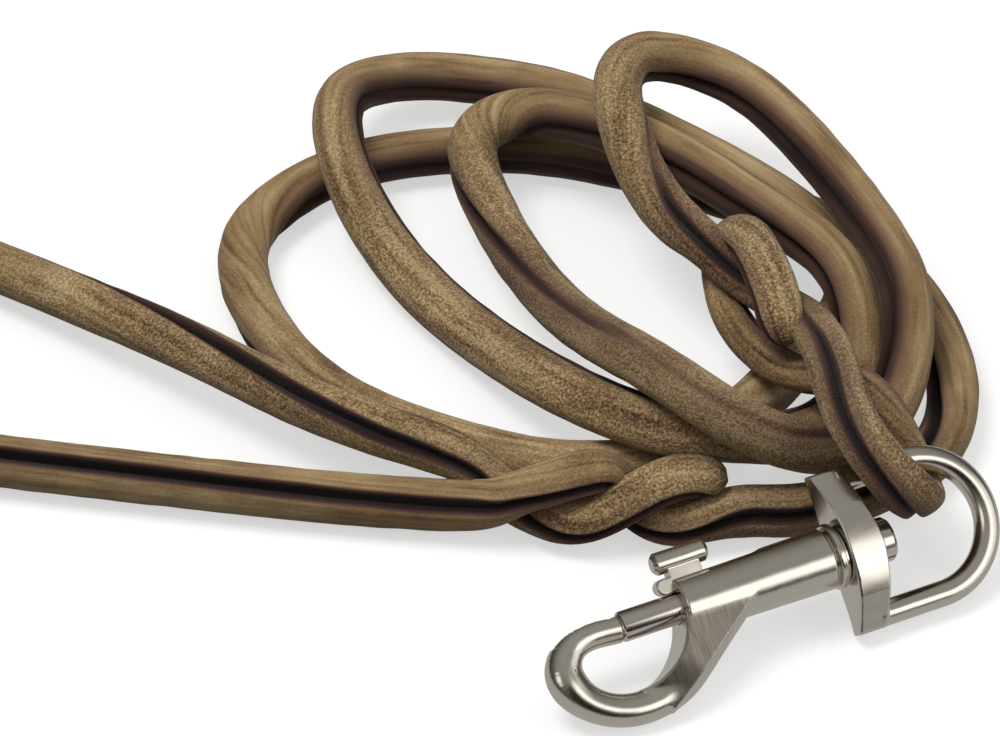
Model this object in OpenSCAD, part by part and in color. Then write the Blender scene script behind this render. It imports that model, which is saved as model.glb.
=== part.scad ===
// Training leash: one strip of leather rolled into a round cord, with a twisted
// splice at each end, a hand loop, and a swivel bolt snap in the small loop.
// Millimetres. The leash lies coiled on the plane z = 0, with the snap along X.

/* [Leather cord] */
// Diameter of the rolled leather cord
cord_d = 9.5; // [8:0.1:9.7]
// Width of a strand in a splice, where the strip is pressed flat
strand_w = 8.5; // [6:0.1:9]
// Thickness of a strand in a splice
strand_t = 6.5; // [4.5:0.1:6.8]
// Width of the cord in the small loop round the bow
loop_w = 9; // [6:0.1:9.5]
// Thickness of the cord in the small loop, where it is pressed flat
loop_t = 6.4; // [4:0.1:6.6]

/* [Snap barrel] */
// Length of the barrel, from its mouth to its flange
barrel_l = 28.2; // [26:0.1:34]
// Outer diameter of the barrel at its mouth
mouth_d = 10.4; // [9.6:0.1:12]
// Outer diameter of the barrel at its rear end
rear_d = 11; // [10:0.1:12]
// Diameter of the latch bolt
bolt_d = 5.4; // [4.6:0.1:5.8]
// Radial running clearance of the bolt and of the swivel
run_gap = 0.08; // [0.03:0.01:0.1]
// Thickness of the wall that closes the barrel at the rear
rear_wall = 4; // [2.5:0.1:6]
// Width of the groove in front of the flange
groove_w = 0.6; // [0.3:0.1:1.5]
// Diameter at the bottom of that groove
groove_d = 9.2; // [8:0.1:9.6]
// Thickness of the swivel flange
flange_t = 1.3; // [0.8:0.1:2.5]
// Diameter of the swivel flange
flange_d = 11.8; // [11:0.1:13]

/* [Snap hook] */
// Length of the bolt that shows between the mouth and the hook's tip
throat_l = 11.5; // [9:0.1:12]
// Diameter of the hook's tip
tip_d = 5.8; // [5.2:0.1:6.4]
// How far the middle of the large bend lies in front of the bolt's tip
bend_set = 0.7; // [0:0.1:1.5]
// Radius of the small bend behind the tip, to the middle of the limb
small_bend = 4.8; // [4:0.1:5.5]
// Radius of the large bend, to the middle of the limb
large_bend = 11.4; // [10.5:0.1:12]
// Diameter of the limb
limb_d = 6.4; // [5.6:0.1:6.8]
// Angle at which the limb runs back into the barrel
limb_angle = 37.4; // [34:0.2:40]
// Thickness of the web between the limb and the barrel
web_t = 3.5; // [2.5:0.1:4.5]

/* [Latch] */
// Travel of the bolt when the hook is opened
travel = 9.6; // [6:0.1:9.8]
// Diameter of the thumb knob
knob_d = 4; // [3.4:0.1:4.6]
// Length of the thumb knob
knob_l = 10.3; // [8:0.1:12]
// Height of the knob's middle above the axis
knob_rise = 8.3; // [8:0.1:9.5]
// Width of the knob's foot, which slides in the slot
foot_w = 3; // [2.4:0.1:3.4]
// Length of the foot's base, which rides in the slot
base_l = 9; // [7:0.1:10]
// How far the base stands out in front of the mouth
base_out = 3.1; // [1:0.1:4]
// Length of the neck between the base and the knob
neck_l = 6.1; // [5:0.1:7]
// Diameter of the pin that holds the knob in the bolt
pin_d = 2.6; // [2:0.1:3]
// Outer diameter of the spring
spring_d = 4.8; // [4:0.1:4.8]
// Diameter of the spring's wire
spring_wire = 0.6; // [0.4:0.05:0.7]
// Number of turns in the spring
spring_turns = 6.5; // [4:0.5:8]

/* [Swivel eye] */
// Inner width of the bow
eye_w = 19.8; // [18:0.1:22]
// Diameter of the bow's wire
wire_d = 4.6; // [4:0.1:5]
// Length of the bow's straight legs in front of the boss
leg_l = 9.4; // [7:0.1:12]
// Diameter of the boss that turns on the rivet
boss_d = 12; // [11:0.1:13]
// Length of the boss
boss_l = 6.7; // [5:0.1:8]
// Thickness of the collar's arms
arm_t = 5; // [4:0.1:6]
// Length of the arm's outer end, along the snap
arm_l = 6.7; // [5.5:0.1:8]
// How far the arm's outer end leans towards the barrel
arm_lean = 2.2; // [0:0.1:3]
// Diameter of the rivet's shank
rivet_d = 4; // [3:0.1:5]
// Diameter of the rivet's head
rivet_head_d = 8; // [7:0.1:8.6]
// Thickness of the rivet's head
rivet_head_t = 3.1; // [2:0.1:3.4]
// Thickness of the washer between the flange and the boss
washer_t = 0.6; // [0.4:0.1:1]

/* [Hidden] */
$fn = 64;

// How the parts of the snap lie, turned about its axis
hook_roll = 36;
eye_roll = 40;
// Gap between flat faces that meet, and along the swivel
face_gap = 0.05;
swivel_gap = 0.1;
// Length of the bands that join the stretches of the limb, and how much larger they are
joint_l = 0.6;
joint_over = 0.16;
// Gap beside the knob's foot in its slot
slot_gap = 0.15;
// Edge break on the bolt, knob, washer and rivet
edge = 0.5;
// How far the web runs into the limb
web_in = 0.6;
// How far the knob's base stands out of the slot at the mouth
base_over = 0.4;
// Play left in the barrel when the spring is pressed flat
spring_play = 1;
// Half height of the collar's arm at the boss, as a share of the boss
arm_root = 0.4;

// Stations along the snap, from the barrel's mouth at x = 0
flange_x = barrel_l + groove_w;
washer_x = flange_x + flange_t + face_gap;
boss_x = washer_x + washer_t + swivel_gap;
boss_end = boss_x + boss_l;
head_x = boss_end + swivel_gap;
well_end = flange_x - rear_wall;
tip_x = -throat_l;
bore_r = bolt_d / 2 + run_gap;

// Middle line of the hook: two bends that meet without a corner, then the limb
limb_low = -14.05;
bend_x = tip_x - bend_set;
bend_s = limb_low + large_bend;
bend_step = large_bend - small_bend;
meet = 180 + asin((small_bend + bend_s) / bend_step);
small_x = bend_x + bend_step * cos(meet);
limb_x = bend_x + large_bend * sin(limb_angle);
limb_s = bend_s - large_bend * cos(limb_angle);
limb_end = mouth_d / 3;
limb_l = (-limb_s - limb_end) / sin(limb_angle);

// Knob and slot
slot_w = foot_w + 2 * slot_gap;
slot_end = base_l - base_out + travel + slot_w / 2;
neck_x = base_l - base_out - neck_l;
neck_mid = neck_x + neck_l / 2;
base_top = mouth_d / 2 + base_over;
bolt_end = well_end - travel - spring_turns * spring_wire - spring_play;

// The bow
bow_r = (eye_w + wire_d) / 2;
bow_x = boss_end + leg_l;
arm_x = boss_x + boss_l / 2 - arm_l / 2 - arm_lean;
arm_mid = arm_x + arm_l / 2;
arm_s = bow_r + wire_d / 2;

// The snap's box stands on z = 0 with its middle over the origin
snap_front = bend_x - large_bend - limb_d / 2;
snap_back = bow_x + bow_r + wire_d / 2;
low_y = limb_low * cos(hook_roll) - limb_d / 2;
high_y = arm_s * cos(eye_roll) + arm_t / 2 * sin(eye_roll);
snap_x = -(snap_front + snap_back) / 2;
snap_y = -(low_y + high_y) / 2;
snap_z = limb_d / 2 - limb_low * sin(hook_roll);

// Routes of the leather, each a list of points that a smooth curve follows
LEAD = [
    [5.5, 22.5, 5], [14, 17.5, 5], [26, 17, 5], [42, 18.5, 5], [52.5, 29.5, 5],
    [58, 45, 5], [58.5, 62.5, 5], [54, 79.5, 5], [43, 90.5, 5], [30.5, 105, 5],
    [13, 121, 5], [-6.5, 130, 5], [-24.5, 133.5, 5], [-37.5, 130.5, 5], [-46, 126.5, 5],
    [-52, 121, 5], [-56, 110, 5], [-56, 91, 5], [-50, 74, 5], [-38, 59.5, 5],
    [-23, 45.5, 5], [-6.5, 38.5, 5], [10.5, 40, 5], [29, 51, 5], [42, 57, 5],
    [48, 62, 7], [47, 70, 10.5], [45, 79.5, 12], [37.5, 91, 15], [27.5, 109.5, 14.5],
    [19, 127, 12], [10.5, 139.5, 8], [-2.5, 148, 8], [-15.5, 148, 11], [-26, 139, 17],
    [-29.5, 126, 14], [-29, 113, 8], [-25.5, 94.5, 5], [-20, 77, 6], [-15.5, 57, 12],
    [-5.5, 37, 16], [7, 33, 13], [20, 32, 7], [32, 35, 6], [40, 43, 9],
    [43, 54, 16], [43, 65, 17], [35.5, 77.5, 18.5], [26.5, 93, 22], [18, 109.5, 19.5],
    [10, 122, 16], [1.5, 124.5, 15], [-6, 121, 14], [-7.5, 109, 11], [-8.5, 90.5, 11],
    [-7.5, 67, 15], [-3.5, 45.5, 25], [2.5, 30, 25], [12.5, 23.5, 18], [23.5, 22.5, 12],
    [34, 25.5, 10.5], [43, 33, 13], [49.5, 44.5, 22], [51.5, 61, 21], [51.5, 83, 20],
    [48.5, 107.5, 20], [38.5, 118, 22], [28.5, 118, 27], [21, 111.5, 30], [17, 102, 30],
    [16, 90.5, 24], [17.5, 78.5, 22]];
HANDLE = [
    [-36, 40, 6], [-48, 47, 5], [-64, 56, 5], [-88, 71, 5], [-112, 86, 5], [-134, 101, 5],
    [-150, 117, 5], [-159, 136, 5], [-157, 155, 5], [-145, 167, 5], [-129, 166, 5],
    [-114, 155, 5], [-98.5, 135.5, 6], [-85, 115, 8], [-71, 92.5, 11], [-59.5, 72, 12],
    [-48, 57.5, 13], [-37.5, 49.5, 11]];
BOW_LOOP = [
    [28, 41, 24], [27, 34, 26], [24.5, 26, 27], [22.5, 17, 27], [22.5, 9.5, 26.5],
    [24.5, 4, 23.5], [28, 2, 19], [31, 4, 14], [33, 9, 12], [34, 15, 13], [33, 19, 17],
    [31, 25, 22], [28.5, 32, 20], [26, 37, 16.5]];
HAND_STANDING = [
    [-36, 40, 6], [-32, 39, 8.5], [-27, 37, 10.7], [-21, 36, 12], [-16, 35.5, 12],
    [-13.5, 35.5, 8.5], [-11.5, 32, 4.7], [-9.5, 27, 4.2], [-6.5, 24.5, 4.3], [-2, 23.5, 4.8],
    [5.5, 22.5, 5]];
HAND_TAIL = [
    [-37.5, 49.5, 11], [-34.5, 46.5, 7], [-31.5, 42, 4.5], [-28, 37, 4], [-24.5, 33, 4],
    [-20, 30.5, 5.5], [-14.5, 29, 9], [-8, 28.7, 12], [-1, 28, 12], [4, 26, 9.5]];
SNAP_STANDING = [
    [17.5, 78.5, 22], [20, 72, 22], [22.5, 66, 20.5], [25.5, 60, 18.5], [28, 53, 19],
    [29, 46, 22], [28, 41, 24]];
SNAP_TAIL = [
    [26, 37, 16.5], [23.5, 41.5, 14.5], [21, 49, 13.5], [20, 58, 13.5], [21.5, 66, 14],
    [24, 72, 16], [27, 73.5, 20], [27, 69, 25], [26, 61, 27], [25, 53, 27],
    [23.5, 46, 25.5], [22, 41, 22]];

// A smooth curve's points beside the points of its route
function on_curve(r) = let (n = len(r) - 1) [
    for (i = [0:n])
        let (a = i == 0 ? 2 * r[0] - r[1] : r[i - 1], b = i == n ? 2 * r[n] - r[n - 1] : r[i + 1])
        (a + 4 * r[i] + b) / 6];
function unit(v) = v / norm(v);
function heading(p, i) = unit(p[min(i + 1, len(p) - 1)] - p[max(i - 1, 0)]);
function across(t, up) = unit(cross(t, up));

// A flat-sided cord w wide and t thick through the points p
module cord(p, w, t, up = [0, 0, 1], sides = 8) {
    rings = len(p);
    polyhedron(
        points = [
            for (i = [0:rings - 1])
                let (h = heading(p, i), s = across(h, up), v = cross(s, h))
                for (k = [0:sides - 1])
                    let (a = (k + 0.5) * 360 / sides)
                    p[i] + w / 2 * cos(a) * s + t / 2 * sin(a) * v],
        faces = concat(
            [[for (k = [0:sides - 1]) k]],
            [for (i = [0:rings - 2]) for (k = [0:sides - 1])
                let (a = i * sides + k, b = i * sides + (k + 1) % sides)
                each [[a, a + sides, b + sides], [a, b + sides, b]]],
            [[for (k = [sides - 1:-1:0]) (rings - 1) * sides + k]]));
}
module in_snap(roll) {
    translate([snap_x, snap_y, snap_z]) rotate([roll, 0, 0]) children();
}
module along_x(x, l, d1, d2) {
    translate([x, 0, 0]) rotate([0, 90, 0]) cylinder(h = l, d1 = d1, d2 = d2);
}
// A round bar along X with broken edges at both ends
module bar(x, l, d) {
    along_x(x, edge, d - 2 * edge, d);
    along_x(x + edge, l - 2 * edge, d, d);
    along_x(x + l - edge, edge, d, d - 2 * edge);
}
// A bent round wire in the plane of X and Y
module bend(x, s, r, d, from, sweep) {
    translate([x, s, 0]) rotate([0, 0, from]) rotate_extrude(angle = sweep) translate([r, 0]) circle(d = d);
}

module hook_body() {
    color("silver") in_snap(hook_roll) difference() {
        union() {
            along_x(0, barrel_l, mouth_d, rear_d);
            along_x(barrel_l, groove_w, groove_d, groove_d);
            along_x(flange_x, flange_t, flange_d, flange_d);
            hook_tip();
            hook_bends();
            limb();
            web();
        }
        along_x(-1, well_end + 1, 2 * bore_r, 2 * bore_r);
        along_x(0, washer_x, rivet_d, rivet_d);
        translate([-1, 0, -slot_w / 2]) cube([slot_end + 1 - slot_w / 2, mouth_d, slot_w]);
        translate([slot_end - slot_w / 2, 0, 0]) rotate([-90, 0, 0]) cylinder(h = mouth_d, d = slot_w);
    }
}
module hook_tip() {
    taper = limb_d / 2;
    along_x(small_x, taper, limb_d, tip_d);
    along_x(small_x + taper, tip_x - face_gap - small_x - taper, tip_d, tip_d);
}
module hook_bends() {
    bend(small_x, -small_bend, small_bend, limb_d, 90, meet - 90);
    bend(bend_x, bend_s, large_bend, limb_d, meet, 270 + limb_angle - meet);
    limb_joint(bend_x + large_bend * cos(meet), bend_s + large_bend * sin(meet), meet - 90);
    limb_joint(limb_x, limb_s, limb_angle);
}
// A short band, a hair larger than the limb, that joins two stretches of it
module limb_joint(x, s, angle) {
    d = limb_d + joint_over;
    translate([x, s, 0]) rotate([0, 0, angle]) along_x(-joint_l / 2, joint_l, d, d);
}
module limb() {
    translate([limb_x, limb_s, 0]) rotate([0, 0, limb_angle]) along_x(0, limb_l, limb_d, limb_d);
}
module web() {
    inner = large_bend - limb_d / 2 + web_in;
    under = -(bore_r + mouth_d / 2) / 2;
    translate([0, 0, -web_t / 2]) linear_extrude(web_t) polygon(concat(
        [for (a = [-60:5:-15]) [bend_x + inner * cos(a), bend_s + inner * sin(a)]],
        [[-edge, under], [mouth_d / 2, under],
         [limb_x + limb_l * cos(limb_angle), limb_s + limb_l * sin(limb_angle)], [limb_x, limb_s]]));
}

module latch_bolt() {
    color("gainsboro") in_snap(hook_roll) difference() {
        bar(tip_x, bolt_end - tip_x, bolt_d);
        translate([neck_mid, 0, 0]) rotate([-90, 0, 0]) cylinder(h = bolt_d, d = pin_d);
    }
}
module thumb_knob() {
    foot_s = bolt_d / 2 + face_gap;
    nose = (base_top - foot_s) / 2;
    color("silver") in_snap(hook_roll) {
        translate([0, knob_rise, 0]) bar(neck_mid - knob_l / 2, knob_l, knob_d);
        translate([neck_x, foot_s, -foot_w / 2]) cube([neck_l, knob_rise - foot_s, foot_w]);
        translate([nose - base_out, foot_s, -foot_w / 2]) cube([base_l - nose, 2 * nose, foot_w]);
        translate([nose - base_out, foot_s + nose, -foot_w / 2]) cylinder(h = foot_w, r = nose);
        translate([neck_mid, 0, 0]) rotate([-90, 0, 0]) cylinder(h = foot_s + nose, d = pin_d);
    }
}
module bolt_spring() {
    room = well_end - bolt_end - spring_wire;
    steps = 12;
    r = (spring_d - spring_wire) / 2;
    color("dimgray") in_snap(hook_roll) cord([
        for (k = [0:steps * spring_turns])
            let (a = 360 * k / steps)
            [bolt_end + spring_wire / 2 + room * k / (steps * spring_turns), r * cos(a), r * sin(a)]],
        spring_wire, spring_wire, [1, 0, 0], 6);
}
module swivel_rivet() {
    color("silver") in_snap(eye_roll) {
        along_x(well_end + edge, head_x - well_end, rivet_d, rivet_d);
        along_x(head_x, rivet_head_t - edge, rivet_head_d, rivet_head_d);
        along_x(head_x + rivet_head_t - edge, edge, rivet_head_d, rivet_head_d - 2 * edge);
    }
}
module swivel_washer() {
    color("gainsboro") in_snap(eye_roll) difference() {
        along_x(washer_x, washer_t, boss_d - 2, boss_d - 2);
        along_x(washer_x - 1, washer_t + 2, rivet_d + 2 * run_gap, rivet_d + 2 * run_gap);
    }
}
module swivel_eye() {
    color("silver") in_snap(eye_roll) difference() {
        union() {
            along_x(boss_x, boss_l, boss_d, boss_d);
            for (side = [0, 1]) mirror([0, side, 0]) {
                eye_arm();
                translate([0, bow_r, 0]) along_x(arm_mid, bow_x - arm_mid, wire_d, wire_d);
            }
            bend(bow_x, 0, bow_r, wire_d, -90, 180);
        }
        along_x(boss_x - 1, boss_l + 2, rivet_d + 2 * run_gap, rivet_d + 2 * run_gap);
    }
}
module eye_arm() {
    translate([0, 0, -arm_t / 2]) linear_extrude(arm_t) polygon([
        [boss_x, 0], [boss_x, boss_d * arm_root], [arm_x, arm_s - wire_d / 2], [arm_x, arm_s],
        [arm_x + arm_l, arm_s], [arm_x + arm_l + edge, arm_s - wire_d / 2], [boss_end, boss_d * arm_root],
        [boss_end, 0]]);
}

module lead_strap() {
    color("#7b6349") cord(on_curve(LEAD), cord_d, cord_d);
}
module handle_strap() {
    color("#7b6349") cord(on_curve(HANDLE), cord_d, cord_d);
}
module snap_strap() {
    color("#83694a") cord(on_curve(BOW_LOOP), loop_t, loop_w, [1, 0, 0]);
}
// A strand of a splice, flatter than it is wide
module strand(route) {
    color("#71573a") cord(on_curve(route), strand_w, strand_t);
}
module handle_splice_standing() { strand(HAND_STANDING); }
module handle_splice_tail() { strand(HAND_TAIL); }
module snap_splice_standing() { strand(SNAP_STANDING); }
// This tail comes up through the lead and turns back, so its sections stand across X
module snap_splice_tail() {
    color("#71573a") cord(on_curve(SNAP_TAIL), strand_t, strand_w, [1, 0, 0]);
}

hook_body();
latch_bolt();
thumb_knob();
bolt_spring();
swivel_rivet();
swivel_washer();
swivel_eye();
snap_strap();
snap_splice_standing();
snap_splice_tail();
lead_strap();
handle_splice_standing();
handle_splice_tail();
handle_strap();
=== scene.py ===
"""Looks of a training leash: one strip of rolled leather with a hand loop and two splices, and a bolt snap.

The leather is swept along the same routes as its solids, and the snap's metal pieces are built around the
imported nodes. Lengths are in metres where nothing else is said.
"""

import math

import bpy
import numpy as np
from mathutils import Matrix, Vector


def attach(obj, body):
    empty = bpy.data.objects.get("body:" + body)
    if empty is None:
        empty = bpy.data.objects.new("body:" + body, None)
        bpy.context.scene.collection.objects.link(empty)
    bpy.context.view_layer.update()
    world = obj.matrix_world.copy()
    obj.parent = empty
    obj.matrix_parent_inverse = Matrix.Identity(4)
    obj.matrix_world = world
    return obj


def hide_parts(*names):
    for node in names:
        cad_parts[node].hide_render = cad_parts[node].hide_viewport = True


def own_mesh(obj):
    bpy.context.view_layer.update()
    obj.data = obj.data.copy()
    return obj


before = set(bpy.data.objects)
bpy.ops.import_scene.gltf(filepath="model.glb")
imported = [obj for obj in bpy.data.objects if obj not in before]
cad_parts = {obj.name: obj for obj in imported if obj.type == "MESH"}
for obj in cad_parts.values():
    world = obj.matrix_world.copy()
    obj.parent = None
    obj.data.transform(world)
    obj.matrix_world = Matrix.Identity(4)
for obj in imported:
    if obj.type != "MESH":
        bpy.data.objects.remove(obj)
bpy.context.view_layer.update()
scene = bpy.context.scene


# ---------------------------------------------------------------- camera

CAMERA_AT = (-0.2399, -0.4336, 0.5755)
CAMERA_LOOKS = (0.2770, 0.6370, -0.7193)
CAMERA_LENS = 155.5

camera_data = bpy.data.cameras.new("camera")
camera_data.lens = CAMERA_LENS
camera_data.sensor_width = 36.0
camera = bpy.data.objects.new("camera", camera_data)
camera.location = CAMERA_AT
camera.rotation_euler = Vector(CAMERA_LOOKS).to_track_quat("-Z", "Y").to_euler()
scene.collection.objects.link(camera)
scene.camera = camera


# ---------------------------------------------------------------- routes of the leather

# Points that the strip's middle line bends along, the same as in the solids
HAND_TAIL = [
    (-.0375, .0495, .011), (-.0345, .0465, .007), (-.0315, .042, .0045), (-.028, .037, .004),
    (-.0245, .033, .004), (-.02, .0305, .0055), (-.0145, .029, .009), (-.008, .0287, .012),
    (-.001, .028, .012), (.004, .026, .0095)]
HANDLE = [
    (-.036, .04, .006), (-.048, .047, .005), (-.064, .056, .005), (-.088, .071, .005),
    (-.112, .086, .005), (-.134, .101, .005), (-.15, .117, .005), (-.159, .136, .005),
    (-.157, .155, .005), (-.145, .167, .005), (-.129, .166, .005), (-.114, .155, .005),
    (-.0985, .1355, .006), (-.085, .115, .008), (-.071, .0925, .011), (-.0595, .072, .012),
    (-.048, .0575, .013), (-.0375, .0495, .011)]
HAND_STANDING = [
    (-.036, .04, .006), (-.032, .039, .0085), (-.027, .037, .0107), (-.021, .036, .012),
    (-.016, .0355, .012), (-.0135, .0355, .0085), (-.0115, .032, .0047), (-.0095, .027, .0042),
    (-.0065, .0245, .0043), (-.002, .0235, .0048), (.0055, .0225, .005)]
LEAD = [
    (.0055, .0225, .005), (.014, .0175, .005), (.026, .017, .005), (.042, .0185, .005),
    (.0525, .0295, .005), (.058, .045, .005), (.0585, .0625, .005), (.054, .0795, .005),
    (.043, .0905, .005), (.0305, .105, .005), (.013, .121, .005), (-.0065, .13, .005),
    (-.0245, .1335, .005), (-.0375, .1305, .005), (-.046, .1265, .005), (-.052, .121, .005),
    (-.056, .11, .005), (-.056, .091, .005), (-.05, .074, .005), (-.038, .0595, .005),
    (-.023, .0455, .005), (-.0065, .0385, .005), (.0105, .04, .005), (.029, .051, .005),
    (.042, .057, .005), (.048, .062, .007), (.047, .07, .0105), (.045, .0795, .012), (.0375, .091, .015),
    (.0275, .1095, .0145), (.019, .127, .012), (.0105, .1395, .008), (-.0025, .148, .008),
    (-.0155, .148, .011), (-.026, .139, .017), (-.0295, .126, .014), (-.029, .113, .008),
    (-.0255, .0945, .005), (-.02, .077, .006), (-.0155, .057, .012), (-.0055, .037, .016),
    (.007, .033, .013), (.02, .032, .007), (.032, .035, .006), (.04, .043, .009), (.043, .054, .016),
    (.043, .065, .017), (.0355, .0775, .0185), (.0265, .093, .022), (.018, .1095, .0195),
    (.01, .122, .016), (.0015, .1245, .015), (-.006, .121, .014), (-.0075, .109, .011),
    (-.0085, .0905, .011), (-.0075, .067, .015), (-.0035, .0455, .025), (.0025, .03, .025),
    (.0125, .0235, .018), (.0235, .0225, .012), (.034, .0255, .0105), (.043, .033, .013),
    (.0495, .0445, .022), (.0515, .061, .021), (.0515, .083, .02), (.0485, .1075, .02),
    (.0385, .118, .022), (.0285, .118, .027), (.021, .1115, .03), (.017, .102, .03), (.016, .0905, .024),
    (.0175, .0785, .022)]
SNAP_STANDING = [
    (.0175, .0785, .022), (.02, .072, .022), (.0225, .066, .0205), (.0255, .06, .0185),
    (.028, .053, .019), (.029, .046, .022), (.028, .041, .024)]
BOW_LOOP = [
    (.028, .041, .024), (.027, .034, .026), (.0245, .026, .027), (.0225, .017, .027),
    (.0225, .0095, .0265), (.0245, .004, .0235), (.028, .002, .019), (.031, .004, .014),
    (.033, .009, .012), (.034, .015, .013), (.033, .019, .017), (.031, .025, .022), (.0285, .032, .02),
    (.026, .037, .0165)]
SNAP_TAIL = [
    (.026, .037, .0165), (.0235, .0415, .0145), (.021, .049, .0135), (.02, .058, .0135),
    (.0215, .066, .014), (.024, .072, .016), (.027, .0735, .02), (.027, .069, .025), (.026, .061, .027),
    (.025, .053, .027), (.0235, .046, .0255), (.022, .041, .022)]
# The whole strip in one route, from its end in the hand splice to its end in the snap splice
STRIP = (HAND_TAIL[::-1] + HANDLE[::-1][1:-1] + HAND_STANDING + LEAD[1:]
         + SNAP_STANDING[1:-1] + BOW_LOOP + SNAP_TAIL[1:])

RING_STEP = 0.001
SPAN_PARTS = 16
# Rings over which the corners between given keys are rounded
EASED_OVER = 11


def smooth_line(route, step=RING_STEP):
    """Even points, a step apart, on the smooth curve along a route, and the route's count at each of them."""
    p = np.array(route, float)
    p = np.vstack([2 * p[0] - p[1], p, 2 * p[-1] - p[-2]])
    t = np.linspace(0, 1, SPAN_PARTS, endpoint=False)[:, None]
    before, start = (1 - t) ** 3, 3 * t**3 - 6 * t**2 + 4
    end, after = 1 + 3 * t + 3 * t**2 - 3 * t**3, t**3
    spans = [
        (before * a + start * b + end * c + after * d) / 6
        for a, b, c, d in zip(p[:-3], p[1:-2], p[2:-1], p[3:])
    ]
    line = np.vstack(spans + [route[-1]])
    run = stations(line)
    places = np.linspace(0, run[-1], max(2, round(run[-1] / step)) + 1)
    even = np.stack([np.interp(places, run, line[:, k]) for k in range(3)], 1)
    return even, np.interp(places, run, np.arange(len(line)) / SPAN_PARTS)


def stations(line):
    """The length along a line up to each of its points."""
    return np.concatenate([[0], np.cumsum(np.linalg.norm(np.diff(line, axis=0), axis=1))])


def unit(v):
    return v / np.maximum(np.linalg.norm(v, axis=-1, keepdims=True), 1e-12)


def headings(line):
    return unit(np.gradient(line, axis=0))


def eased(count, keys, n):
    """Column n of given keys, whose first column is the route's count, without sharp turns."""
    table = np.array(keys, float)
    raw = np.interp(count, table[:, 0], table[:, n])
    window = np.hanning(EASED_OVER)[1:-1]
    padded = np.pad(raw, len(window) // 2, mode="edge")
    return np.convolve(padded, window / window.sum(), mode="valid")


# ---------------------------------------------------------------- leather

# Half widths in radians round the section, and heights as shares of its radius
GROOVE_HALF = 0.30
GROOVE_DEPTH = 0.50
LIP_HALF = 0.13
LIP_RISE = 0.035
STAIN_AND_SHADE_HALF = 0.8
# How dark the colour beside the groove gets, partly dye from the edges and partly painted shade, where the
# groove's own middle is 1
STAIN_AND_SHADE_MOST = 0.72
# How far the strip swells and creases, and the lengths over which its cut ends are rounded off
UNEVEN = 0.0001
START_TAPER = 0.004
END_TAPER = 0.006
# The radius at which lengths round the section are counted
SKIN_R = 0.0045


def ring_angles(around=30, in_groove=17):
    """Section angles from the groove's middle, close together in the groove and its lips."""
    lips = GROOVE_HALF * 1.6
    close = np.linspace(-lips, lips, in_groove)
    wide = np.linspace(lips, 2 * math.pi - lips, around + 2)[1:-1]
    return np.concatenate([close, wide])


def tube_faces(rings, around):
    """The faces between rings of points, with a flat face at each end."""
    index = np.arange(rings * around).reshape(rings, around)
    nxt = np.roll(index, -1, axis=1)
    quads = np.stack([index[:-1], nxt[:-1], nxt[1:], index[1:]], -1).reshape(-1, 4).tolist()
    return quads + [index[0][::-1].tolist(), index[-1].tolist()]


def unevenness(run, angle, seed):
    """Slow swellings and lengthwise creases of leather that was rolled wet and dried, as heights."""
    chance = np.random.default_rng(seed)
    out = np.zeros((len(run), len(angle)))
    for _ in range(16):
        wave = chance.uniform(0.005, 0.03)
        turns = chance.integers(0, 5)
        phase = chance.uniform(0, 2 * math.pi)
        share = chance.uniform(0.2, 0.6)
        out += np.sin(run[:, None] * 2 * math.pi / wave + turns * angle[None, :] + phase) * share
    return out * UNEVEN / 4


def sweep(route, shape, groove, stain_and_shade_keys, skin, lean, seed):
    """A strip along a route, round or pressed flat, with the dark groove where its two edges meet.

    shape holds (route count, width, thickness) in millimetres, groove (count, place round the section in
    degrees from the top, strength), the staining keys (count, how far the dark edges colour the strip beside
    them: dye, and painted shade where the far strands lie under the others), skin (count, nap, painted
    shade), and lean (count, degrees) how far the section's top leans from up towards +X.
    Returns the points, the faces, the stored values and the middle line.
    """
    line, count = smooth_line(route)
    run = stations(line)
    width, thick = eased(count, shape, 1), eased(count, shape, 2)
    place, strength = np.radians(eased(count, groove, 1)), eased(count, groove, 2)
    nap, shade, stain_and_shade_amount = eased(count, skin, 1), eased(count, skin, 2), eased(count, stain_and_shade_keys, 1)
    leant = np.radians(eased(count, lean, 1))
    h = headings(line)
    side = unit(np.cross(h, np.stack([np.sin(leant), 0 * leant, np.cos(leant)], 1)))
    top = np.cross(side, h)
    phi = ring_angles()
    far = np.minimum(np.abs(phi), 2 * math.pi - np.abs(phi))
    dip = (0.5 + 0.5 * np.cos(math.pi * np.minimum(far / GROOVE_HALF, 1))) ** 0.75
    lips = LIP_RISE * np.exp(-(((far - GROOVE_HALF * 1.35) / LIP_HALF) ** 2))
    turn = place[:, None] + phi[None, :]
    swell = unevenness(run, phi, seed)
    ends = np.ones(len(run))
    for length, reach in ((START_TAPER, run), (END_TAPER, run[-1] - run)):
        ends = np.minimum(ends, np.sqrt(np.clip(1 - (1 - np.clip(reach / length, 0, 1)) ** 2, 0.02, 1)))
    rim = 1 + strength[:, None] * (lips - GROOVE_DEPTH * dip)[None, :]
    wide = (width / 2000 * ends)[:, None] * rim + swell
    deep = (thick / 2000 * ends)[:, None] * rim + swell
    points = (
        line[:, None, :]
        + (wide * np.sin(turn))[..., None] * side[:, None, :]
        + (deep * np.cos(turn))[..., None] * top[:, None, :]
    )
    full = (len(line), len(phi))
    in_groove = np.clip(1.25 - far / (GROOVE_HALF * 1.2), 0, 1)[None, :] * strength[:, None]
    # Beside the groove: dye from the edges, and painted shade on the far strands; the groove value carries it
    beside = np.exp(-((far / STAIN_AND_SHADE_HALF) ** 2))[None, :] * stain_and_shade_amount[:, None] * STAIN_AND_SHADE_MOST
    values = {
        "groove": np.maximum(in_groove, beside),
        "along": np.broadcast_to(run[:, None], full),
        "around": np.broadcast_to((phi * SKIN_R)[None, :], full),
        "nap": np.broadcast_to(nap[:, None], full),
        "shade": np.broadcast_to(shade[:, None], full),
    }
    return points.reshape(-1, 3), tube_faces(*full), values, line


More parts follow.
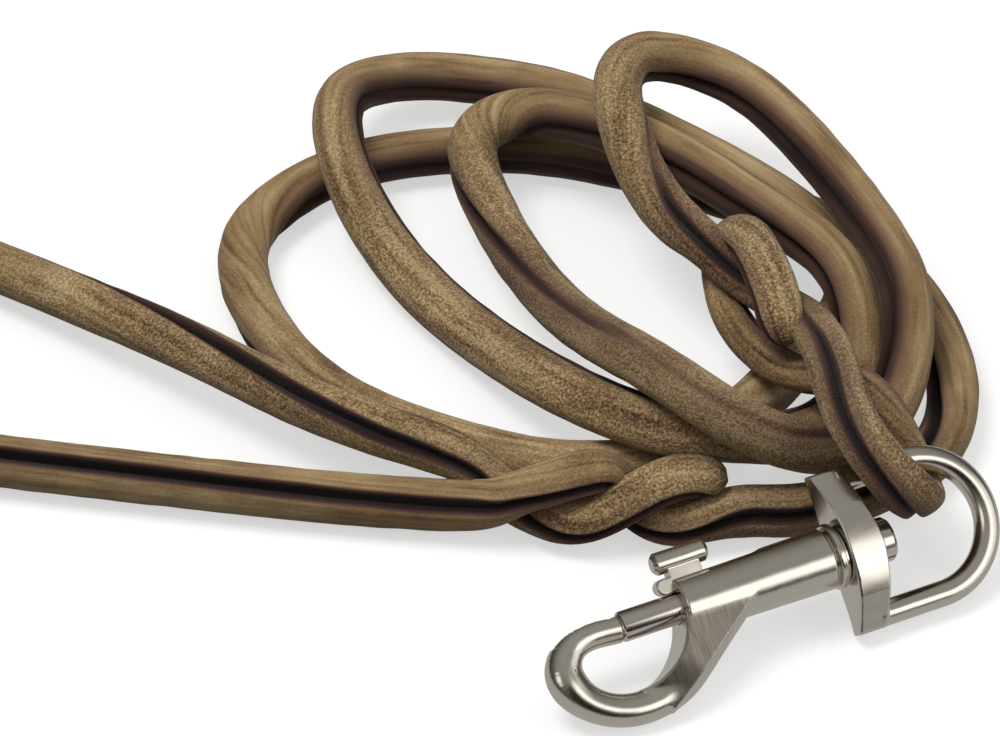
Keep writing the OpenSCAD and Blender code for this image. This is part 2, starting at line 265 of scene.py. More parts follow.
def leather_piece(name, points, faces, values):
    """A mesh of swept leather, with the stored values that its material follows."""
    mesh = bpy.data.meshes.new(name)
    mesh.from_pydata(points.tolist(), [], faces)
    for key, value in values.items():
        stored = np.ascontiguousarray(value, np.float32).ravel()
        mesh.attributes.new(key, "FLOAT", "POINT").data.foreach_set("value", stored)
    mesh.polygons.foreach_set("use_smooth", [True] * len(mesh.polygons))
    mesh.update()
    piece = bpy.data.objects.new(name, mesh)
    scene.collection.objects.link(piece)
    return piece


# ---------------------------------------------------------------- materials


def colour(hex_code):
    """Linear RGBA of an sRGB colour written as hex."""
    parts = [int(hex_code[i:i + 2], 16) / 255 for i in (1, 3, 5)]
    return [c / 12.92 if c <= 0.04045 else ((c + 0.055) / 1.055) ** 2.4 for c in parts] + [1.0]


def add(tree, kind, inputs=(), stops=(), **settings):
    """Adds a shader node: its inputs are values or other nodes' outputs, its stops a ramp's colours."""
    made = tree.nodes.new("ShaderNode" + kind)
    for name, value in settings.items():
        setattr(made, name, value)
    for name, value in dict(inputs).items():
        if isinstance(value, bpy.types.NodeSocket):
            tree.links.new(value, made.inputs[name])
        else:
            made.inputs[name].default_value = value
    for n, (place, value) in enumerate(stops):
        stop = made.color_ramp.elements[n] if n < 2 else made.color_ramp.elements.new(place)
        stop.position, stop.color = place, value
    return made


def new_material(name):
    """An empty material's node tree and its output node."""
    material = bpy.data.materials.new(name)
    material.use_nodes = True
    material.node_tree.nodes.clear()
    return material, material.node_tree, add(material.node_tree, "OutputMaterial")


def rolled_leather():
    """Oil-tanned cowhide, rolled grain side out: matt tan-olive, napped where worked, dark at its edges."""
    material, tree, out = new_material("rolled_leather")
    along, around, groove, napped, shade = (
        add(tree, "Attribute", attribute_name=name).outputs["Fac"]
        for name in ("along", "around", "groove", "nap", "shade"))
    strip = add(tree, "CombineXYZ", {"X": along, "Y": around}).outputs[0]
    place = add(tree, "TexCoord").outputs["Object"]
    # Nap: tufts of fibre about 0.2 mm wide, drawn at 0.5 mm so that they show
    tufts = add(tree, "TexNoise", {
        "Vector": place, "Scale": 2000.0, "Detail": 2.0, "Roughness": 0.6}).outputs["Fac"]
    tufts = add(tree, "MapRange", {
        "Value": tufts, "From Min": 0.36, "From Max": 0.64, "To Min": -0.5, "To Max": 0.5}).outputs[0]
    amount = add(tree, "MapRange", {"Value": napped, "To Min": 0.05, "To Max": 0.50}).outputs[0]
    tufts = add(tree, "Math", {0: tufts, 1: amount}, operation="MULTIPLY").outputs[0]
    # Lengthwise stretch marks, about 2 mm apart and 25 mm long
    stretched = add(tree, "VectorMath", {0: strip, 1: (40.0, 480.0, 1.0)}, operation="MULTIPLY").outputs[0]
    streaks = add(tree, "TexNoise", {
        "Vector": stretched, "Scale": 1.0, "Detail": 2.5, "Roughness": 0.55}).outputs["Fac"]
    # Patches where the hide took the oil unevenly, about 15 mm across
    patches = add(tree, "TexNoise", {
        "Vector": place, "Scale": 65.0, "Detail": 3.0, "Roughness": 0.55}).outputs["Fac"]
    tone = add(tree, "Math", {0: streaks, 1: 1.4, 2: -0.26}, operation="MULTIPLY_ADD").outputs[0]
    tone = add(tree, "Math", {0: patches, 1: 0.55, 2: tone}, operation="MULTIPLY_ADD").outputs[0]
    tone = add(tree, "Math", {0: tufts, 1: tone}, operation="ADD").outputs[0]
    # Painted shade: the shade key darkens the strip in the splices and towards its cut ends
    tone = add(tree, "Math", {0: shade, 1: -0.5, 2: tone}, operation="MULTIPLY_ADD").outputs[0]
    tan = add(tree, "ValToRGB", {"Fac": tone}, stops=[
        (0.24, colour("#3f2b1c")), (1.02, colour("#b7a078")), (0.46, colour("#664e36")),
        (0.64, colour("#826947")), (0.82, colour("#9a825c"))]).outputs["Color"]
    # The burnished edges bleed into the strip in uneven streaks; the same dark colour beside the groove is
    # also painted shade on the far strands, where they lie under the others
    edge_stain_and_shade = add(tree, "Math", {0: streaks, 1: 0.55, 2: groove}, operation="MULTIPLY_ADD").outputs[0]
    dark = add(tree, "ValToRGB", {"Fac": edge_stain_and_shade}, stops=[
        (0.28, (0, 0, 0, 1)), (0.72, (1, 1, 1, 1))]).outputs["Color"]
    edge = add(tree, "ValToRGB", {"Fac": edge_stain_and_shade}, stops=[
        (0.45, colour("#5a4033")), (1.25, colour("#1f1311")), (0.85, colour("#3a2621"))]).outputs["Color"]
    skin = add(tree, "Mix", {"Factor": dark, "A": tan, "B": edge}, data_type="RGBA").outputs["Result"]
    relief = add(tree, "Math", {0: tufts, 1: 1.6, 2: streaks}, operation="MULTIPLY_ADD").outputs[0]
    bump = add(tree, "Bump", {"Strength": 0.7, "Distance": 0.0003, "Height": relief}).outputs[0]
    shader = add(tree, "BsdfPrincipled", {
        "Base Color": skin, "Roughness": 0.68, "IOR": 1.5, "Specular IOR Level": 0.3, "Sheen Weight": 0.08,
        "Sheen Roughness": 0.5, "Normal": bump})
    tree.links.new(shader.outputs[0], out.inputs["Surface"])
    return material


def plated_zinc():
    """Die-cast zinc alloy with nickel plate, tumbled to a satin: a warm silver whose reflections are soft."""
    material, tree, out = new_material("nickel_plated_zinc")
    place = add(tree, "TexCoord").outputs["Object"]
    # Waviness that the tumbling leaves, about 5 mm across
    waves = add(tree, "TexNoise", {"Vector": place, "Scale": 200.0, "Detail": 1.0}).outputs["Fac"]
    # Hairlines along the barrel: the real ones are 0.05 mm apart, drawn at 0.15 mm
    drawn = add(tree, "VectorMath", {0: place, 1: (500.0, 6500.0, 6500.0)}, operation="MULTIPLY").outputs[0]
    hairs = add(tree, "TexNoise", {"Vector": drawn, "Scale": 1.0, "Detail": 2.0}).outputs["Fac"]
    # Belt marks across the ground faces, 0.4 mm apart, where the plating is dull and rougher; the faces'
    # darker grey is painted, standing in for the dimmer reflection they show
    ground = add(tree, "Attribute", attribute_name="ground").outputs["Fac"]
    crossed = add(tree, "VectorMath", {0: place, 1: (2500.0, 150.0, 150.0)}, operation="MULTIPLY").outputs[0]
    marks = add(tree, "TexNoise", {"Vector": crossed, "Scale": 1.0, "Detail": 2.0}).outputs["Fac"]
    dull_painted_grey = add(tree, "ValToRGB", {"Fac": marks}, stops=[
        (0.30, colour("#857d73")), (0.70, colour("#a29a8f"))]).outputs["Color"]
    plating = add(tree, "Mix", {
        "Factor": ground, "A": colour("#d3ccc0"), "B": dull_painted_grey}, data_type="RGBA").outputs["Result"]
    rough = add(tree, "MapRange", {
        "Value": hairs, "From Min": 0.3, "From Max": 0.7, "To Min": 0.17, "To Max": 0.26}).outputs[0]
    rough = add(tree, "Math", {0: ground, 1: 0.22, 2: rough}, operation="MULTIPLY_ADD").outputs[0]
    relief = add(tree, "Math", {0: hairs, 1: 0.03, 2: waves}, operation="MULTIPLY_ADD").outputs[0]
    bump = add(tree, "Bump", {"Strength": 0.5, "Distance": 0.00012, "Height": relief}).outputs[0]
    shader = add(tree, "BsdfPrincipled", {
        "Base Color": plating, "Metallic": 1.0, "Roughness": rough, "Normal": bump})
    tree.links.new(shader.outputs[0], out.inputs["Surface"])
    return material


def plated_steel():
    """Turned steel with nickel plate: brighter and smoother than the castings, with faint tool rings."""
    material, tree, out = new_material("nickel_plated_steel")
    place = add(tree, "TexCoord").outputs["Object"]
    # Tool rings across the axis, about 0.5 mm apart
    rings = add(tree, "TexWave", {
        "Vector": place, "Scale": 640.0, "Distortion": 0.6},
        wave_type="BANDS", bands_direction="X").outputs["Fac"]
    bump = add(tree, "Bump", {"Strength": 0.1, "Distance": 0.00003, "Height": rings}).outputs[0]
    shader = add(tree, "BsdfPrincipled", {
        "Base Color": colour("#d6cdc6"), "Metallic": 1.0, "Roughness": 0.17, "Normal": bump})
    tree.links.new(shader.outputs[0], out.inputs["Surface"])
    return material


def studio_floor():
    """Seamless white paper: matt, and white to the eye, with the object's soft shadow on it."""
    material, tree, out = new_material("studio_paper")
    path = add(tree, "LightPath").outputs
    # The camera sees the paper near white, and the metal mirrors it as a mid grey
    seen = add(tree, "Math", {0: path["Is Camera Ray"], 1: 0.55}, operation="MULTIPLY").outputs[0]
    share = add(tree, "Math", {
        0: path["Is Glossy Ray"], 1: 0.85, 2: seen}, operation="MULTIPLY_ADD").outputs[0]
    strength = add(tree, "MapRange", {
        "Value": path["Is Camera Ray"], "To Min": 0.55, "To Max": 1.05}).outputs[0]
    # It throws little light back up, as if the leash lay near the front edge of the paper
    tint = add(tree, "Mix", {
        "Factor": path["Is Camera Ray"], "A": colour("#6a6762"), "B": colour("#f4f3f0")},
        data_type="RGBA").outputs["Result"]
    paper = add(tree, "BsdfDiffuse", {"Color": tint}).outputs[0]
    glow = add(tree, "Emission", {"Color": (1, 1, 1, 1), "Strength": strength}).outputs[0]
    both = add(tree, "MixShader", {0: share, 1: paper, 2: glow}).outputs[0]
    tree.links.new(both, out.inputs["Surface"])
    return material


leather = rolled_leather()
zinc = plated_zinc()
steel = plated_steel()


# ---------------------------------------------------------------- the strip

# Route count, width, thickness. It is pressed flat in the splices and round the bow.
SHAPE = [
    (0, 7.5, 5.5), (1, 9.2, 6.5), (2, 9.2, 6.5), (3, 8.8, 6.5), (4, 9.8, 6.6), (5, 10.0, 6.8),
    (6, 9.4, 6.8), (8, 8.5, 6.8), (9, 9.2, 8.5), (10, 9.5, 9.5), (25, 9.5, 9.5), (26, 9.3, 9.0),
    (27, 8.8, 7.2), (28, 9.2, 6.5), (29, 9.6, 6.5), (31, 8.5, 6.5), (32, 9.4, 6.5), (34, 10.0, 6.8),
    (35, 9.4, 8.0), (36, 9.5, 9.5), (44, 9.5, 9.5), (46, 9.0, 9.0), (49, 9.3, 9.3), (52, 9.5, 9.5),
    (71, 9.5, 9.5), (73, 10.6, 9.6), (75, 10.6, 9.4), (77, 9.6, 9.4), (80, 9.5, 9.5), (105, 9.5, 9.5),
    (107, 9.2, 9.5), (108, 7.0, 9.0), (109, 6.5, 8.5), (112, 6.5, 8.5), (114, 6.4, 9.2), (118, 6.4, 9.5),
    (121, 6.2, 9.0), (125, 6.2, 8.6), (128, 5.8, 7.6), (130, 5.4, 6.6), (131, 5.4, 7.0), (133, 6.0, 8.4),
    (135, 6.0, 9.0), (136, 5.8, 8.8), (137, 5.4, 7.4)]
# Route count, place of the groove, its strength. It wanders round the cord as the strip twists.
GROOVE = [
    (0, -127, 0.8), (1, -104, 0.8), (2, -92, 0.8), (3, -94, 0.9), (4, -94, 1), (5, -80, 1), (6, -58, 1),
    (7, -35, 1), (8, -40, 1), (9, -59, 1), (10, -49, 1.1), (11, -23, 1.1), (12, 9, 1), (13, 46, 0.8),
    (16, 60, 1), (20, 50, 1), (22, 27, 1.1), (23, 30, 1.1), (24, 36, 1.1), (25, 42, 1.1), (26, 47, 1.1),
    (27, 64, 1), (28, 74, 1), (30, 84, 1), (31, 96, 1), (33, 80, 1), (35, 70, 1), (36, 54, 1),
    (37, 56, 1), (38, 40, 1), (40, -50, 1), (41, -65, 0.8), (43, -80, 0.5), (46, -84, 0.45),
    (48, -82, 0.45), (49, -84, 0.5), (50, -110, 0.6), (51, -170, 0.5), (52, -245, 0.8), (53, -269, 1),
    (55, -260, 1), (58, -258, 1), (60, -150, 0.6), (61, -80, 0.5), (63, -72, 0.45), (65, -74, 0.45),
    (67, -84, 0.45), (69, -88, 0.5), (70, -74, 0.8), (71, -62, 1), (72, -60, 1), (73, -57, 1),
    (75, -45, 1), (77, -24, 1), (79, -40, 1), (80, -66, 1), (81, -70, 1), (82, -76, 0.7), (83, -68, 0.6),
    (84, -68, 0.6), (85, -74, 0.6), (86, -88, 0.5), (87, -150, 0.4), (88, -255, 0.7), (89, -284, 0.8),
    (90, -320, 0.7), (91, -338, 0.5), (92, -342, 0.3), (94, -330, 0.3), (95, -350, 0.6), (96, -403, 1),
    (98, -412, 0.6), (100, -428, 0.55), (101, -438, 0.6), (102, -456, 0.8), (103, -478, 0.8),
    (104, -446, 0.6), (105, -399, 0.4), (106, -330, 0.3), (107, -275, 0.8), (108, -245, 1),
    (109, -242, 1), (113, -246, 0.5), (114, -253, 0.8), (115, -256, 1), (116, -244, 1), (117, -232, 1),
    (118, -230, 1), (120, -250, 0.6), (122, -320, 0.3), (126, -415, 0.4), (128, -405, 0.9),
    (131, -392, 0.9), (132, -450, 0.4), (133, -510, 0.6), (134, -543, 1), (137, -547, 1)]
# Route count, how far the dark edges colour the strip beside them, from 0 to 1: dye from the edges, and
# painted shade where the far strands lie under and behind the others
STAIN_AND_SHADE = [
    (0, 0.3), (9, 0.2), (12, 0.1), (26, 0.15), (31, 0.3), (38, 0.3), (42, 0.6), (45, 0.9), (50, 0.8),
    (52, 0.4), (58, 0.5), (61, 0.6), (64, 0.9), (70, 0.9), (72, 0.3), (78, 0.4), (81, 0.7), (84, 0.9),
    (86, 0.9), (88, 0.3), (91, 0.5), (93, 0.3), (97, 1), (101, 1), (104, 0.4), (107, 0.3), (112, 0.3),
    (114, 0.4), (118, 0.6), (126, 0.4), (137, 0.4)]
# Route count, nap, shade. The nap stands up where the strip was worked most; shade is painted shade,
# darkening the strip where it runs under itself in the splices and towards its cut ends.
SKIN = [
    (0, 0.8, 0.8), (0.6, 1, 0.1), (3, 1, 0), (5, 0.8, 0.3), (8, 0.8, 0), (12, 1, 0), (14, 0.5, 0),
    (17, 0.1, 0), (25, 0.1, 0), (28, 0.3, 0), (31, 0.6, 0.4), (34, 0.7, 0.3), (36, 0.9, 0), (38, 0.6, 0),
    (40, 0.1, 0), (51, 0.1, 0), (54, 0.5, 0), (58, 0.4, 0), (62, 0, 0), (69, 0.1, 0), (72, 0.9, 0),
    (76, 1, 0), (79, 0.4, 0), (82, 0.05, 0), (87, 0.2, 0), (89, 0.9, 0), (94, 1, 0), (97, 0.1, 0),
    (102, 0.1, 0), (104, 0.7, 0), (107, 1, 0), (109, 0.8, 0.5), (112, 0.8, 0.6), (113, 1, 0.1),
    (114, 1, 0), (119, 1, 0), (123, 0.4, 0.3), (128, 0.5, 0.35), (131, 0.6, 0.15), (132, 1, 0),
    (136.5, 1, 0), (137, 0.8, 0.6)]
# Route count, lean of the section's top. The snap's end runs up and over, so there it is counted from +X.
LEAN = [(0, 0), (103, 0), (108, 90), (137, 90)]

*strip_mesh, strip_line = sweep(STRIP, SHAPE, GROOVE, STAIN_AND_SHADE, SKIN, LEAN, seed=11)
strip = leather_piece("leather_strip", *strip_mesh)
strip.data.materials.append(leather)
for node in (
    "lead_strap", "handle_strap", "snap_strap",
    "handle_splice_standing", "handle_splice_tail", "snap_splice_standing", "snap_splice_tail",
):
    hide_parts(node)
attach(strip, "lead")


# ---------------------------------------------------------------- shapes of the castings

# Signed distances, in millimetres, in the snap's own space: x runs along its barrel from the mouth, s across
# it to the knob's side, and h at right angles to both. A distance is negative inside.
BOLT_TIP = -11.5
BARREL_L = 28.2
BORE_R = 2.78
WELL_END = 24.8
SLOT_END = 15.5
SLOT_HALF = 1.65
OPENING_AT = (-12.5, 0.5)
OPENING_R = 12
BOSS = (30.85, 37.55)
RIVET_HOLE_R = 2.1
EAR_REACH = 14.5
WIRE_R = 2.3
WIRE_START = 34.4
BOW_R = 12.2
BOW_X = 46.95
KNOB_X = 2.85
KNOB_BAR_AT = 8.3
LIMB_STEP = 0.6
CAST_CELL = 0.25
KNOB_CELL = 0.15


def meet(a, b, edge):
    """What two shapes share, with an edge of that radius."""
    return np.minimum(np.maximum(a, b), -edge) + np.hypot(np.maximum(a + edge, 0), np.maximum(b + edge, 0))


def join(a, b, fillet):
    """Two shapes together, with a fillet of that radius."""
    inner = np.hypot(np.maximum(fillet - a, 0), np.maximum(fillet - b, 0))
    return np.maximum(np.minimum(a, b), fillet) - inner


def rod(x, r, start, end, r_start, r_end, edge):
    """A round bar or cone along x."""
    slope = (r_end - r_start) / (end - start)
    side = (r - r_start - slope * (x - start)) / math.hypot(1, slope)
    return meet(side, np.maximum(start - x, x - end), edge)


def limb(x, s, h, route):
    """A bar along a curve in the plane of x and s, from stations (x, s, half width, half height)."""
    wide = smooth_line([(a, b, w) for a, b, w, _ in route], LIMB_STEP)[0]
    high = smooth_line([(a, b, t) for a, b, _, t in route], LIMB_STEP)[0]
    high = np.interp(np.linspace(0, 1, len(wide)), np.linspace(0, 1, len(high)), high[:, 2])
    flat = np.broadcast(x, s).shape
    near, at = np.full(flat, 1e9), np.zeros(flat)
    for n, (a, b) in enumerate(zip(wide[:-1, :2], wide[1:, :2])):
        run = b - a
        t = np.clip(((x - a[0]) * run[0] + (s - a[1]) * run[1]) / (run @ run), 0, 1)
        far = np.hypot(x - a[0] - t * run[0], s - a[1] - t * run[1])
        at = np.where(far < near, n + t, at)
        near = np.minimum(far, near)
    half, rise = (np.interp(at, np.arange(len(wide)), v) for v in (wide[:, 2], high))
    corner = half - np.clip((rise - half) * 0.5, 0, half * 0.4)
    return np.hypot(np.maximum(near - half + corner, 0), np.maximum(np.abs(h) - rise + corner, 0)) - corner


HOOK_ROUTE = [
    (-11.6, 0, 2.6, 2.6), (-14, .2, 2.6, 2.6), (-16.6, .4, 2.55, 2.6), (-19.2, 0, 2.55, 2.7),
    (-20.8, -.8, 2.65, 2.8), (-22, -1.8, 2.9, 3), (-22.9, -3.1, 3.2, 3.2), (-23.4, -4.6, 3.4, 3.3),
    (-23.3, -6.3, 3.5, 3.4), (-22.6, -8.2, 3.4, 3.3), (-21.3, -10.1, 3.1, 3.1), (-19.3, -11.9, 2.95, 3),
    (-16.7, -13.3, 2.9, 2.9), (-13.9, -14.1, 2.9, 2.9), (-11, -14.3, 2.9, 2.9), (-8.2, -14, 2.9, 2.9),
    (-5.5, -13.3, 2.9, 3), (-2.6, -12, 2.85, 3.1), (2.4, -8.2, 2.5, 3.7), (7, -4.8, 2.3, 4.1),
    (11, -1.9, 2.2, 4.2)]


def gusset(x, s):
    """The plate between the limb and the barrel: its outline's distance, and its half height."""
    opening = OPENING_R - np.hypot(x - OPENING_AT[0], s - OPENING_AT[1])
    # It follows the limb below and the barrel above, and grows thicker from the bend towards the barrel
    below = (x + 2.6) * 0.596 - (s + 12) * 0.803 - 1
    above = s + 1
    run = (x + 6) * 0.77 + (s + 13.4) * 0.64
    outline = meet(opening, np.maximum(np.maximum(below, above), -3 - run), 0.4)
    along = np.clip((run + 5) / 12, 0, 1)
    return outline, 1.9 + 3 * along**2 * (3 - 2 * along)


def hook_shape(x, s, h):
    """Barrel, flange, bends and limb, with the gusset between the limb and the barrel."""
    r = np.hypot(s, h)
    # The bar is cut square in front of the bolt, and where it runs out on the barrel
    at_bolt = np.minimum(np.minimum(x - BOLT_TIP + 0.05, -8 - x), s + 7)
    on_barrel = (x - 11) * 0.8 + (s + 1.9) * 0.6 - 1
    bar = meet(limb(x, s, h, HOOK_ROUTE), np.maximum(at_bolt, on_barrel), 0.25)
    outline, half = gusset(x, s)
    plate = meet(outline, np.abs(h) - half, 0.5)
    cast = join(join(bar, plate, 0.6), rod(x, r, 0, BARREL_L, 5.2, 5.5, 0.45), 0.4)
    cast = np.minimum(cast, rod(x, r, BARREL_L - 1, BARREL_L + 1, 4.6, 4.6, 0.05))
    cast = np.minimum(cast, rod(x, r, BARREL_L + 0.6, BARREL_L + 1.9, 5.9, 5.9, 0.3))
    cast = meet(cast, -rod(x, r, -5, WELL_END, BORE_R, BORE_R, 0.05), 0.15)
    slot = np.maximum(np.hypot(np.maximum(x - SLOT_END, 0), h) - SLOT_HALF, -s)
    return meet(cast, -slot, 0.15)


def eye_shape(x, s, h):
    """A boss on the rivet, whose yoke thins out to two ears that lean to the barrel, and the wire bow."""
    r, far = np.hypot(s, h), np.abs(s)
    out = far / EAR_REACH
    # The yoke's face is an arc over the boss, then falls flat to each ear
    crest = 6 - np.minimum(far, 8) ** 2 / 48 - 0.46 * np.maximum(far - 8, 0)
    section = (np.abs(h) - crest) * 0.93
    middle, half = (BOSS[0] + BOSS[1]) / 2, (BOSS[1] - BOSS[0]) / 2
    band = meet(section, np.abs(x - middle + 2.2 * out**2) - half + 0.7 * out, 0.4)
    band = meet(band, far - EAR_REACH, 0.4)
    wire = np.hypot(np.where(x > BOW_X, np.hypot(x - BOW_X, s), far) - BOW_R, h) - WIRE_R
    cast = join(band, np.maximum(wire, WIRE_START - x), 0.4)
    return meet(cast, -rod(x, r, 29, 39, RIVET_HOLE_R, RIVET_HOLE_R, 0.05), 0.15)


def knob_shape(x, s, h):
    """A chamfered bar across the top of a neck, on a base that rides in the slot, and a pin in the bolt."""
    x = x - KNOB_X
    side, ends = np.hypot(s - KNOB_BAR_AT, h) - 2, np.abs(x) - 5.15
    bar = np.maximum(np.maximum(side, ends), (side + ends + 0.7) * 0.707)
    neck = meet(np.maximum(np.abs(x) - 3.05, np.abs(s - 5.6) - 2.8), np.abs(h) - 1.5, 0.2)
    base = np.hypot(np.maximum(-4.525 - x, 0), s - 4.175) - 1.425
    base = meet(np.maximum(base, x - 3.05), np.abs(h) - 1.5, 0.3)
    pin = np.maximum(np.hypot(x, h) - 1.3, np.abs(s - 2) - 2)
    return np.minimum(np.minimum(bar, neck), np.minimum(base, pin))


def slope_of(shape, points, reach=0.03):
    """The direction in which a shape's distance grows, at each point."""
    out = np.empty_like(points)
    for k in range(3):
        step = np.zeros(3)
        step[k] = reach
        out[:, k] = shape(*(points + step).T) - shape(*(points - step).T)
    return out / (2 * reach)


def skin_of(shape, low, high, cell):
    """A closed mesh over a shape's surface: one point in each grid cell that it crosses, moved onto it."""
    count = np.ceil((np.array(high) - low) / cell).astype(int) + 1
    axes = [low[k] + cell * np.arange(count[k]) for k in range(3)]
    distance = shape(axes[0][:, None, None], axes[1][None, :, None], axes[2][None, None, :])
    sums, hits, quads = np.zeros((count.prod(), 3)), np.zeros(count.prod()), []
    for order in ((0, 1, 2), (1, 2, 0), (2, 0, 1)):
        grid = distance.transpose(order)
        a, b = grid[:-1, 1:-1, 1:-1], grid[1:, 1:-1, 1:-1]
        found = (a < 0) != (b < 0)
        node = np.argwhere(found) + (0, 1, 1)
        crossing = np.zeros((len(node), 3))
        crossing[:, order] = node
        crossing[:, order[0]] += a[found] / (a[found] - b[found])
        ring = []
        for back in ((0, 0, 0), (0, 1, 0), (0, 1, 1), (0, 0, 1)):
            cell_at = np.zeros_like(node)
            cell_at[:, order] = node - back
            ring.append(np.ravel_multi_index(cell_at.T, count))
            np.add.at(sums, ring[-1], crossing)
            np.add.at(hits, ring[-1], 1)
        quad = np.stack(ring, 1)
        quad[a[found] >= 0] = quad[a[found] >= 0][:, ::-1]
        quads.append(quad)
    used, faces = np.unique(np.vstack(quads), return_inverse=True)
    points = np.array(low) + cell * sums[used] / hits[used][:, None]
    for _ in range(3):
        slope = slope_of(shape, points)
        move = shape(*points.T)[:, None] * slope / np.maximum((slope**2).sum(1), 0.2)[:, None]
        points -= np.clip(move, -cell / 2, cell / 2)
    return points, faces.reshape(-1, 4).tolist(), slope_of(shape, points)


def turned(outline, sides=72):
    """A piece turned on a lathe: its (x, radius) points start and end on its axis, or form a closed ring."""
    ring = np.linspace(0, 2 * math.pi, sides, endpoint=False)
    x, r = (column[:, None] for column in np.array(outline, float).T)
    points = np.stack([np.repeat(x, sides, 1), r * np.cos(ring), r * np.sin(ring)], -1)
    index = np.arange(len(x) * sides).reshape(len(x), sides)
    nxt = np.roll(index, -1, axis=1)
    faces = np.stack([index[:-1], index[1:], nxt[1:], nxt[:-1]], -1).reshape(-1, 4).tolist()
    if outline[0] == outline[-1]:
        points = points[:-1]
        faces = [[v % (points.size // 3) for v in face] for face in faces]
    else:
        faces += [index[0].tolist(), index[-1][::-1].tolist()]
    return points.reshape(-1, 3), faces


def coil(start, end, turns, radius, wire, sides=10):
    """A round spring along x, with its ends closed."""
    a = np.linspace(0, 2 * math.pi * turns, int(turns * 24) + 1)
    line = np.stack([np.linspace(start, end, len(a)), radius * np.cos(a), radius * np.sin(a)], 1)
    out = np.stack([0 * a, np.cos(a), np.sin(a)], 1)
    side = np.cross(headings(line), out)
    ring = np.linspace(0, 2 * math.pi, sides, endpoint=False)[None, :, None]
    points = line[:, None] + wire / 2 * (np.cos(ring) * out[:, None] + np.sin(ring) * side[:, None])
    return points.reshape(-1, 3), tube_faces(len(a), sides)


# ---------------------------------------------------------------- the snap

# Where the snap's own space starts, in millimetres, and how far each half is turned about its barrel
SNAP_AT = (-17.325, 0.93, 11.458)
HOOK_ROLL = 36
EYE_ROLL = 40


def metal_piece(name, node, body, roll, points, faces, normals=None):
    """A mesh in the snap's own space, turned about the barrel's axis into its place, in place of a node."""
    a = math.radians(roll)
    turn = np.array([[1, 0, 0], [0, math.cos(a), -math.sin(a)], [0, math.sin(a), math.cos(a)]])
    mesh = bpy.data.meshes.new(name)
    mesh.from_pydata(((points @ turn.T + SNAP_AT) / 1000).tolist(), [], faces)
    mesh.polygons.foreach_set("use_smooth", [True] * len(mesh.polygons))
    if normals is None:
        mesh.set_sharp_from_angle(angle=math.radians(30))
    else:
        mesh.normals_split_custom_set_from_vertices(unit(normals @ turn.T).tolist())
    mesh.update()
    piece = bpy.data.objects.new(name, mesh)
    scene.collection.objects.link(piece)
    cast = normals is not None
    mesh.materials.append(zinc if cast else steel)
    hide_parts(node)
    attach(piece, body)
    return piece


hook_mesh = skin_of(hook_shape, (-28.4, -18.7, -6.7), (30.9, 6.7, 6.7), CAST_CELL)
hook = metal_piece("hook_casting", "hook_body", "hook", HOOK_ROLL, *hook_mesh)
# The gusset's two faces were ground flat on a belt, up to where they sink into the bend
x, s, h = hook_mesh[0].T
outline, half = gusset(x, s)
ground = np.clip(-outline / 0.4, 0, 1) * np.clip(1.6 - np.abs(np.abs(h) - half) / 0.1, 0, 1)
ground *= np.clip((half - 2.4) / 1.2, 0, 1)
# The material roughens these faces by this mask and paints them a darker grey, which stands in for their
# dimmer reflection
stored = hook.data.attributes.new("ground", "FLOAT", "POINT")
stored.data.foreach_set("value", ground.astype(np.float32))

eye_mesh = skin_of(eye_shape, (27, -15.5, -6.7), (62.2, 15.5, 6.7), CAST_CELL)
metal_piece("eye_casting", "swivel_eye", "eye", EYE_ROLL, *eye_mesh)
knob_mesh = skin_of(knob_shape, (-3.7, -0.6, -2.5), (8.5, 10.8, 2.5), KNOB_CELL)
metal_piece("knob_casting", "thumb_knob", "bolt", HOOK_ROLL, *knob_mesh)
metal_piece("turned_bolt", "latch_bolt", "bolt", HOOK_ROLL, *turned([
    (BOLT_TIP, 0.05), (BOLT_TIP, 2.1), (BOLT_TIP + 0.5, 2.65), (BOLT_TIP + 0.7, 2.7),
    (9.8, 2.7), (10.3, 2.2), (10.3, 0.05)]))
metal_piece("turned_rivet", "swivel_rivet", "hook", EYE_ROLL, *turned([
    (25.3, 0.05), (25.3, 2), (37.65, 2), (37.65, 3.8), (37.85, 4),
    (39.9, 4), (40.5, 3.5), (40.75, 2.4), (40.75, 0.05)]))
metal_piece("turned_washer", "swivel_washer", "hook", EYE_ROLL, *turned([
    (30.15, 2.1), (30.15, 4.9), (30.25, 5), (30.65, 5), (30.75, 4.9), (30.75, 2.1), (30.15, 2.1)]))
spring = metal_piece("wound_spring", "bolt_spring", "hook", HOOK_ROLL, *coil(10.6, 24.5, 6.5, 2.1, 0.6))
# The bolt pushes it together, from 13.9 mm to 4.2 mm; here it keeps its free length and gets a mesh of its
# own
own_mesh(spring)


# ---------------------------------------------------------------- floor and light

floor_mesh = bpy.data.meshes.new("floor")
floor_mesh.from_pydata([(-3, -3, 0), (3, -3, 0), (3, 3, 0), (-3, 3, 0)], [], [(0, 1, 2, 3)])
floor = bpy.data.objects.new("floor", floor_mesh)
floor.location = (0, 0, -0.0002)
scene.collection.objects.link(floor)
floor_mesh.materials.append(studio_floor())


def soft_lamp(name, at, aim, size, power):
    """A square soft box that looks from one place at another."""
    data = bpy.data.lights.new(name, "AREA")
    data.size, data.energy = size, power
    lamp = bpy.data.objects.new(name, data)
    lamp.location = at
    lamp.rotation_euler = (Vector(aim) - Vector(at)).to_track_quat("-Z", "Y").to_euler()
    lamp.visible_glossy = False
    scene.collection.objects.link(lamp)


soft_lamp("key", (-0.4, 0.3, 1.2), (0, 0.07, 0), 0.5, 10.0)
soft_lamp("fill", (0.9, -0.6, 0.8), (0, 0.07, 0), 0.7, 3.0)

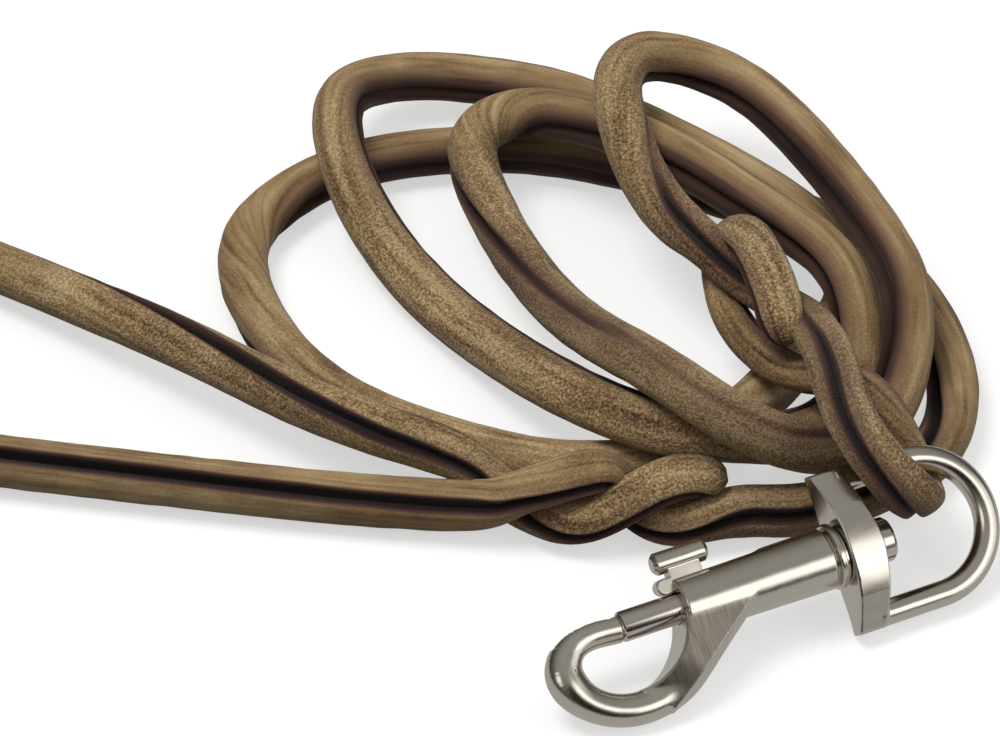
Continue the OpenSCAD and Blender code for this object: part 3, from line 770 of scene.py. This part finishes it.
world = bpy.data.worlds.new("studio")
scene.world = world
world.use_nodes = True
tree = world.node_tree
tree.nodes.clear()
path = add(tree, "LightPath").outputs
place = add(tree, "TexCoord").outputs["Generated"]
height = add(tree, "SeparateXYZ", {"Vector": place}).outputs["Z"]
level = add(tree, "MapRange", {"Value": height, "From Min": -1.0, "From Max": 1.0}).outputs[0]


def patch(towards, edge, core, around, inside):
    """A round patch with a soft edge in one direction: its level in there, and the level all around it."""
    near = add(tree, "VectorMath", {0: place, 1: towards}, operation="DOT_PRODUCT").outputs["Value"]
    return add(tree, "MapRange", {
        "Value": near, "From Min": edge, "From Max": core, "To Min": around, "To Max": inside},
        interpolation_type="SMOOTHSTEP").outputs[0]


# What the metal mirrors: a dim room, darkest along the horizon, with three soft boxes and a black card
mirrored = add(tree, "ValToRGB", {"Fac": level}, stops=[
    (0.0, (.05, .05, .05, 1)), (1.0, (.36, .36, .36, 1)), (0.50, (.035, .033, .03, 1)),
    (0.62, (.07, .065, .06, 1)), (0.76, (.17, .165, .155, 1)), (0.90, (.30, .295, .28, 1))]).outputs["Color"]
for towards, edge, core, strength in (
    ((0.33, -0.75, 0.57), 0.925, 0.987, 1.7),
    ((-0.797, -0.271, 0.531), 0.955, 0.992, 1.4),
    ((0.75, -0.60, 0.28), 0.84, 0.97, 1.1),
):
    mirrored = add(tree, "Mix", {
        "Factor": 1.0, "A": mirrored, "B": patch(towards, edge, core, 0.0, strength)},
        data_type="RGBA", blend_type="ADD").outputs["Result"]
card = patch((-0.16, -0.90, 0.40), 0.90, 0.96, 1.0, 0.1)
mirror = add(tree, "Background", {"Color": mirrored, "Strength": card}).outputs[0]
overhead = add(tree, "ValToRGB", {"Fac": level}, stops=[
    (0.50, (.04, .04, .04, 1)), (1.0, (.95, .95, .95, 1)), (0.62, (.12, .12, .12, 1)),
    (0.78, (.42, .42, .42, 1))]).outputs["Color"]
room = add(tree, "Background", {"Color": overhead, "Strength": 1.0}).outputs[0]
white = add(tree, "Background", {"Color": (1, 1, 1, 1), "Strength": 1.0}).outputs[0]
both = add(tree, "MixShader", {0: path["Is Glossy Ray"], 1: room, 2: mirror}).outputs[0]
both = add(tree, "MixShader", {0: path["Is Camera Ray"], 1: both, 2: white}).outputs[0]
add(tree, "OutputWorld", {"Surface": both})

scene.view_settings.view_transform = "Standard"
